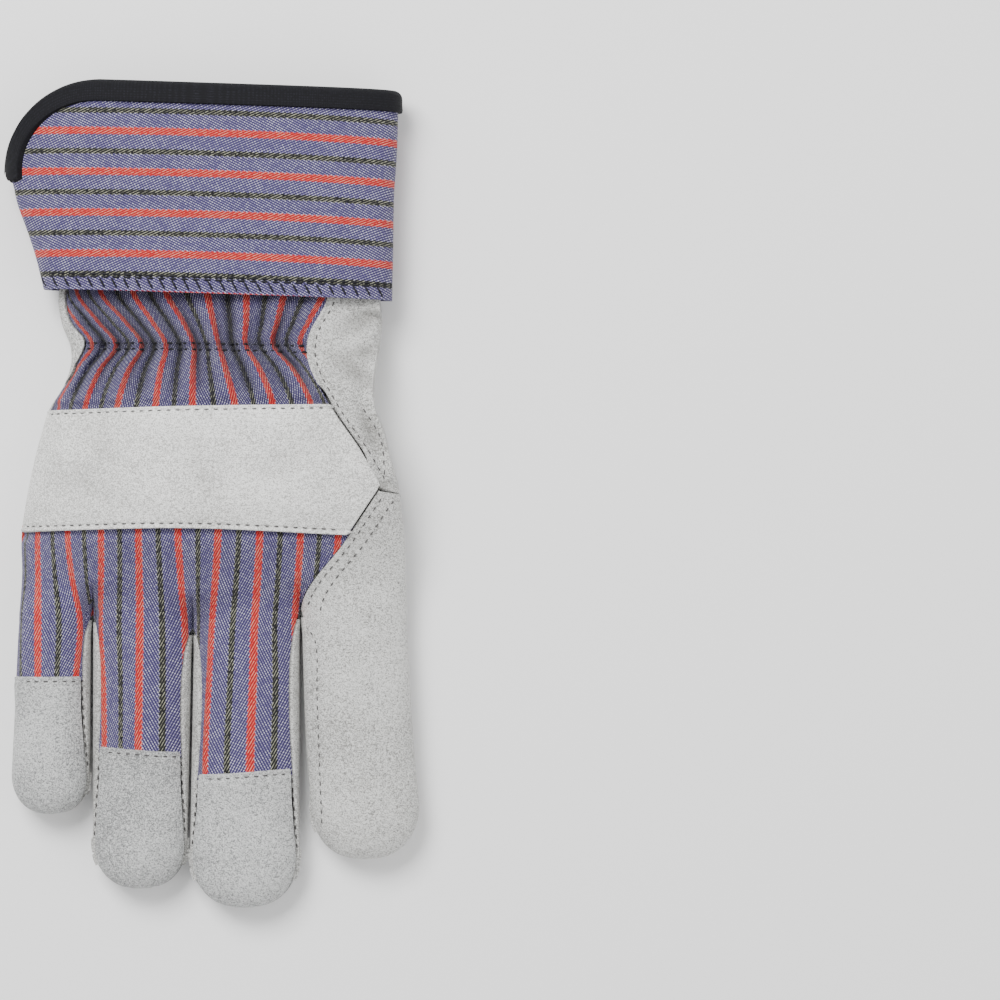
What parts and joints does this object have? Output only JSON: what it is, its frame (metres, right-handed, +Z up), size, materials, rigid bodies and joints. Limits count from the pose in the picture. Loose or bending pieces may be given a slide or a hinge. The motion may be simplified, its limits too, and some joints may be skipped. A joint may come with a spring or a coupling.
{
  "type": "leather palm work glove",
  "caption": "Leather palm work glove for the right hand, with striped fabric back, leather knuckle strap, gathered wrist and open safety cuff, lying back up.",
  "frame": {"origin": "middle of the bounding box in plan, on the plane the glove lies on", "axes": "+Y from the fingertips towards the cuff, +X towards the thumb side, +Z up out of the back of the hand"},
  "size_m": [0.131, 0.2614, 0.0358],
  "materials": {
    "leather": "light grey suede split leather, matte",
    "back_fabric": "woven cotton twill, matte",
    "cuff_fabric": "stiffened woven cotton twill, matte",
    "binding": "woven tape, matte"
  },
  "bodies": {
    "root": {"cuff": "cuff_fabric", "cuff_binding": "binding", "cuff_patch": "leather", "wrist_back": "back_fabric", "knuckle_strap": "leather", "finger_back": "back_fabric", "palm_leather": "leather", "thumb": "leather", "ring_front": "leather", "middle_front": "leather", "little_tip": "leather", "ring_tip": "leather", "middle_tip": "leather", "little_fourchette": "leather", "ring_fourchette_little_side": "leather", "ring_fourchette_thumb_side": "leather", "middle_fourchette_little_side": "leather", "middle_fourchette_thumb_side": "leather", "index_fourchette": "leather"}
  },
  "joints": []
}
